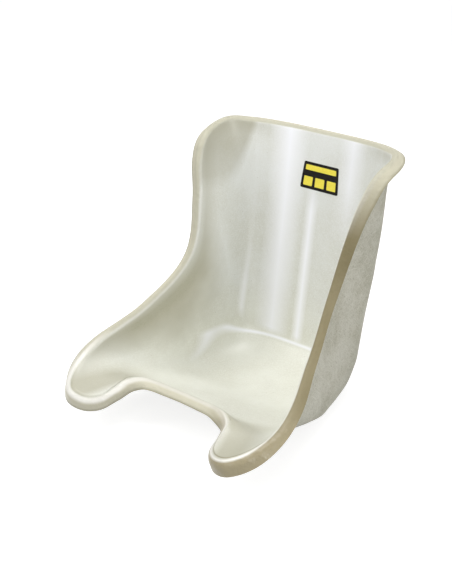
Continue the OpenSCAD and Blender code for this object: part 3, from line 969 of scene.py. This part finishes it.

# %% The painted highlights in both corners beside the back
CORNER_X, CORNER_EDGE, CORNER_Z = 0.1455, (0.001, 0.006), (0.13, 0.26)
corner = gel.product(
    gel.remap(gel.off(aside, CORNER_X), *CORNER_EDGE, 0.6, 0.0),
    gel.remap(z, *CORNER_Z, 1.0, 0.1),
    gel.remap(past, 0.0, -0.02),
)
gel.lay(corner, HIGHLIGHT_WHITE)
print(f"corner lines {2 * CORNER_X / MM:.0f} mm apart")

# %% [markdown]
# ## The tones of the lip
#
# The lip was rolled by hand while the resin was wet. Its tones run along it: on the crest a
# painted highlight in front and on the amber side and painted shade elsewhere, painted shade
# on the flange, and darker painted shade at the free edge. On one side the flange is amber:
# partly darker resin, partly painted shade, since it lies on that side only.

# %% Painted shade in the hollow of the pan in front, and zones of the lip
FRONT_LIP_Y = (-0.12, -0.2)
AMBER_X, AMBER_Z = (0.06, 0.15), (0.49, 0.37)
in_front = gel.remap(y, *FRONT_LIP_Y)
amber_side = gel.product(gel.remap(x, *AMBER_X), gel.remap(z, *AMBER_Z))
on_lip = gel.marked("on_lip")
# Painted shade: olive where the pan sweeps up in front, and just inside the lip, where the surface
# turns away before the ridge.
gel.lay(gel.remap(gel.marked("hollow"), 0.0, 0.8, 0.0, 0.6), OLIVE)
gel.lay(gel.product(gel.remap(rim_gap, 16.0, 2.0, 0.0, 0.35), in_front), OLIVE)

# %% Painted highlight and painted shade on crest, flange and free edge
# Painted highlight on the crest in front and on the amber side; painted shade on the crest
# elsewhere, on the flange and at the free edge.
LIP_HIGHLIGHT, LIP_SIDE_SHADE = colour(228, 226, 218), colour(180, 177, 158)
LIP_FLANGE_SHADE, LIP_EDGE_SHADE = colour(194, 190, 169), colour(146, 142, 118)
CREST_START, AMBER_START, CREST_FADE = 0.2, 0.12, 8.0  # shares of the way across the lip
TOP_Z, TOP_EARLIER = (0.42, 0.48), 0.17  # on the top edge the crest's tone starts earlier
crest = gel.blend(gel.math("MAXIMUM", in_front, amber_side), LIP_SIDE_SHADE, LIP_HIGHLIGHT)
start = gel.math(
    "SUBTRACT",
    gel.remap(amber_side, 0.0, 1.0, CREST_START, AMBER_START),
    gel.remap(z, *TOP_Z, 0.0, TOP_EARLIER),
)
crest_share = gel.product(gel.math("SUBTRACT", on_lip, start), CREST_FADE)
gel.lay(gel.math("MINIMUM", gel.math("MAXIMUM", crest_share, 0.0), 1.0), crest)
gel.lay(gel.remap(on_lip, 0.46, 0.62), LIP_FLANGE_SHADE)
gel.lay(gel.remap(on_lip, 0.85, 1.0), LIP_EDGE_SHADE)

# %% Amber on one side of the lip, partly resin and partly painted shade, with a painted dark line where it begins
LIGHT_AMBER = colour(152, 142, 113)
CONTOUR_SHADE_AT, CONTOUR_SHADE_HALF = 0.09, 0.05
amber = gel.blend(gel.remap(y, -0.1, -0.2), AMBER, LIGHT_AMBER)
amber = gel.blend(gel.remap(cloud, 0.35, 0.75, 0.0, 0.6), amber, LIGHT_AMBER)
# The amber is partly darker resin and partly painted shade, laid on this side of the lip only.
gel.lay(gel.product(gel.remap(on_lip, 0.27, 0.38), amber_side), amber)
# Painted shade: a dark line along the lip, where its bend turns away from view.
contour_shade = gel.remap(gel.off(on_lip, CONTOUR_SHADE_AT), 0.0, CONTOUR_SHADE_HALF, 0.7, 0.0)
gel.lay(gel.product(contour_shade, amber_side), AMBER)

# %% [markdown]
# ## Gloss
#
# A polished mould leaves a half gloss with few lumps. The lip had no mould on its outside,
# so it is lumpy, and on the sides and the top it is duller than in front. Roughness and
# bump say both, with one noise each, and the share across the lip tells them where.

# %% Roughness and lumps
dull = gel.product(gel.remap(on_lip, 0.0, 0.12, 0.0, 0.32), gel.remap(in_front, 1.0, 0.1))
lumps = gel.product(gel.noise(90.0, 3.0), gel.remap(on_lip, 0.05, 0.25, 0.08, 1.0))
gel.bump(lumps, 0.8, -0.0028)
gloss = gel.math("ADD", gel.remap(cloud, 0.3, 0.7, 0.285, 0.36), dull)
gel.give(gel_skin, Roughness=gloss, IOR=1.5)

# %% [markdown]
# ## Laminate, roving and patches
#
# The outside never touched a mould. It is matt and a little rough, with the strands just
# showing through the resin and faint stains where the resin ran thick or thin.

# %% The mat outside
mat = Finish("chopped_strand_laminate", colour(188, 186, 171))
strand = strands(mat)
stain = mat.noise(14.0, 4.0, 0.6)
speck = mat.noise(260.0, 3.0, 0.7)
mat.lay(mat.remap(stain, 0.38, 0.62), colour(163, 160, 140))
mat.lay(mat.remap(mat.noise(5.0, 2.0), 0.4, 0.65, 0.0, 0.5), colour(160, 159, 142))
mat.lay(mat.remap(strand, 0.54, 0.72, 0.0, 0.45), colour(222, 221, 211))
mat.lay(mat.remap(speck, 0.6, 0.72, 0.0, 0.85), colour(128, 122, 102))
mat.lay(mat.product(mat.marked("on_lip"), 0.8), AMBER)
mat.bump(mat.math("ADD", strand, mat.product(speck, 0.5)), 0.6, -0.0008)
mat.give(mat_shell, Roughness=mat.remap(stain, 0.3, 0.7, 0.6, 0.8))

# %% The rovings, whose threads show as marks drawn out upward
THREAD = (0.0024, 0.0024, 0.017)
roving = Finish("soaked_roving", AMBER)
drawn = roving.noise(1.0, 2.0, 0.5, roving.stretched((0.0, 0.0, 0.0), THREAD))
roving.lay(roving.remap(drawn, 0.3, 0.7), colour(196, 188, 158))
roving.bump(drawn, 0.5, -0.0008)
roving.give(rope_left, rope_right, Roughness=roving.remap(drawn, 0.3, 0.7, 0.45, 0.65))

# %% The sealed patches
patch = Finish("patch_mat_layers", colour(190, 188, 170))
patch_strand = strands(patch)
patch.lay(patch.remap(patch_strand, 0.5, 0.8), colour(214, 212, 198))
patch.bump(patch_strand, 0.5, -0.0006)
patch.give(*patches, Roughness=patch.remap(patch_strand, 0.4, 0.8, 0.55, 0.75))

# %% [markdown]
# ## Film and ink
#
# The film is black and glossy, and fine scratches dull it a little. The ink is a clear
# yellow, slightly uneven, as screen printing leaves it.

# %% The film, scratched along its length
SCRATCH = (0.017, 0.0011, 0.0011)
label_black = Finish("black_label_film", colour(18, 15, 13))
scratch = label_black.noise(1.0, 3.0, 0.6, label_black.stretched((0.0, 0.4, 0.0), SCRATCH))
label_black.lay(label_black.remap(scratch, 0.4, 0.8), colour(30, 27, 23))
label_black.bump(scratch, 0.15, 0.0002)
film_gloss = label_black.remap(scratch, 0.3, 0.8, 0.25, 0.42)
label_black.give(label_film, Roughness=film_gloss, Specular_IOR_Level=0.15)

# %% The ink
ink = Finish("yellow_label_ink", colour(246, 232, 84))
uneven_ink = ink.noise(700.0, 2.0)
ink.lay(ink.remap(uneven_ink, 0.3, 0.7), colour(232, 214, 66))
ink.bump(uneven_ink, 0.1, 0.0001)
ink.give(label_print, Roughness=ink.remap(uneven_ink, 0.3, 0.7, 0.35, 0.5))

# %% [markdown]
# ## Floor and surroundings
#
# More light would turn the floor white, but it would also bleach the seat. So the floor and
# the surroundings are white only for rays that the camera or a gloss sends out. To the
# seat they give no more than plain light, so its own colours stay as they are written, and
# the floor keeps a soft shadow.


# %% White for the camera and for gloss
def seen(nodes):
    """1 for rays from the camera, from gloss and through glass, 0 for light on the object."""
    path = nodes.add("ShaderNodeLightPath").outputs
    camera_or_gloss = nodes.math("MAXIMUM", path["Is Camera Ray"], path["Is Glossy Ray"])
    return nodes.math("MAXIMUM", camera_or_gloss, path["Is Transmission Ray"])


# %% The floor
FLOOR_HALF, FLOOR_DROP = 12.0, 0.0003  # metres; a hair below the seat, so no faces coincide
FLOOR_GREY, FLOOR_GLOW = 0.5, 0.76
floor_mesh = bpy.data.meshes.new("floor")
ends = (-FLOOR_HALF, FLOOR_HALF)
floor_mesh.from_pydata([(a, b, 0) for b in ends for a in ends], [], [(0, 1, 3, 2)])
floor = bpy.data.objects.new("floor", floor_mesh)
floor.location.z = -FLOOR_DROP
bpy.context.scene.collection.objects.link(floor)

floor_paper = bpy.data.materials.new("floor_paper")
floor_paper.use_nodes = True
nodes = Nodes(floor_paper.node_tree)
paper = {
    "Base Color": (FLOOR_GREY, FLOOR_GREY, FLOOR_GREY, 1), "Roughness": 0.9,
    "Specular IOR Level": 0.0, "Emission Color": (1, 1, 1, 1),
    "Emission Strength": nodes.product(seen(nodes), FLOOR_GLOW),
}
for name, value in paper.items():
    nodes.feed(nodes.tree.nodes["Principled BSDF"].inputs[name], value)
floor_mesh.materials.append(floor_paper)
print(f"floor {2 * FLOOR_HALF:.0f} m wide")

# %% The surroundings
AMBIENT = 0.45
world = bpy.data.worlds.new("studio")
bpy.context.scene.world = world
world.use_nodes = True
nodes = Nodes(world.node_tree)
backdrop = nodes.tree.nodes["Background"].inputs
nodes.feed(backdrop["Color"], (1, 1, 1, 1))
nodes.feed(backdrop["Strength"], nodes.remap(seen(nodes), 0.0, 1.0, AMBIENT, 1.0))
print(f"surroundings light the seat at {AMBIENT:.0%}")

# %% [markdown]
# ## Lamps
#
# A pale glossy shell is best lit by large soft lamps, because small ones would leave hard
# spots on it. As the camera sees them, one stands to the left, one in front and one to the
# right for the flank. The largest hangs above.

# %% Four soft lamps
LAMPS = [  # name, place, target, width, height, watts
    ("lamp_left", (-1.4, -1.7, 2.2), (0, 0, 0.25), 0.9, 1.4, 15),
    ("lamp_front", (0.4, -2.6, 1.5), (0, 0.1, 0.25), 0.5, 1.4, 14),
    ("lamp_right", (2.2, -0.5, 0.9), (0, 0, 0.25), 0.8, 1.0, 18),
    ("lamp_top", (-0.2, 0.0, 2.4), (0, 0, 0.2), 1.6, 1.6, 32),
]


def soft_lamp(name, place, target, width, height, watts):
    lamp = bpy.data.lights.new(name, "AREA")
    lamp.shape, lamp.size, lamp.size_y, lamp.energy = "RECTANGLE", width, height, watts
    obj = bpy.data.objects.new(name, lamp)
    bpy.context.scene.collection.objects.link(obj)
    obj.location = place
    obj.rotation_euler = (Vector(target) - Vector(place)).to_track_quat("-Z", "Y").to_euler()
    return obj


lamps = [soft_lamp(*values) for values in LAMPS]
print(f"{len(lamps)} lamps, {sum(lamp.data.energy for lamp in lamps):.0f} W together")

# %% [markdown]
# ## Camera
#
# The camera stands in front of the seat, on the sitter's left and above, about 2.2 m away,
# and looks at its middle. A long lens keeps the walls nearly parallel.

# %% The camera
CAMERA_PLACE = (1.1664, -1.4587, 1.1173)
LOOKS_DOWN, TURNED = 25.088, 39.451  # degrees
LENS, SENSOR = 87.61, 36  # millimetres
camera_data = bpy.data.cameras.new("camera")
camera_data.sensor_fit, camera_data.sensor_width, camera_data.lens = "HORIZONTAL", SENSOR, LENS
camera = bpy.data.objects.new("camera", camera_data)
camera.location = CAMERA_PLACE
camera.rotation_euler = (math.radians(90 - LOOKS_DOWN), 0, math.radians(TURNED))
bpy.context.scene.collection.objects.link(camera)
bpy.context.scene.camera = camera
bpy.context.scene.view_settings.view_transform = "Standard"
print(f"camera {Vector(CAMERA_PLACE).length:.2f} m from the seat's origin")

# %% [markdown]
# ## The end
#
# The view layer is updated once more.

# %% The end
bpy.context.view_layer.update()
